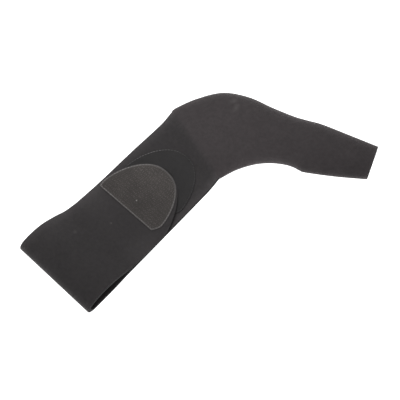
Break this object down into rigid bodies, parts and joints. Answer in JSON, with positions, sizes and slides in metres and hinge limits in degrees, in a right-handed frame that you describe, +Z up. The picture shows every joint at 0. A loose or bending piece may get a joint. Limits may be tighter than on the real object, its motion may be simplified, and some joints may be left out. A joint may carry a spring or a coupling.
{
  "type": "thumb splint",
  "caption": "Soft neoprene thumb splint lying flat: a folded wrist strap with a stitched hook tab and loop patch, and a humped tubular thumb sleeve with an open tip.",
  "frame": {"origin": "middle of the splint's outline in plan, on the surface it lies on", "axes": "+X along the thumb sleeve towards its open tip, +Z up from the surface, the strap folds towards -X and -Y"},
  "size_m": [0.2366, 0.201, 0.0168],
  "materials": {
    "strap_neoprene": "matt black nylon jersey on foam rubber",
    "sleeve_neoprene": "matt black nylon jersey on foam rubber",
    "hook_tape": "rows of small nylon hooks",
    "loop_tape": "flat napped loop pile",
    "thread": "grey sewing thread"
  },
  "bodies": {
    "root": {"wrist_strap": "strap_neoprene", "thumb_sleeve": "sleeve_neoprene", "hook_tab": "hook_tape", "loop_patch": "loop_tape"}
  },
  "joints": []
}
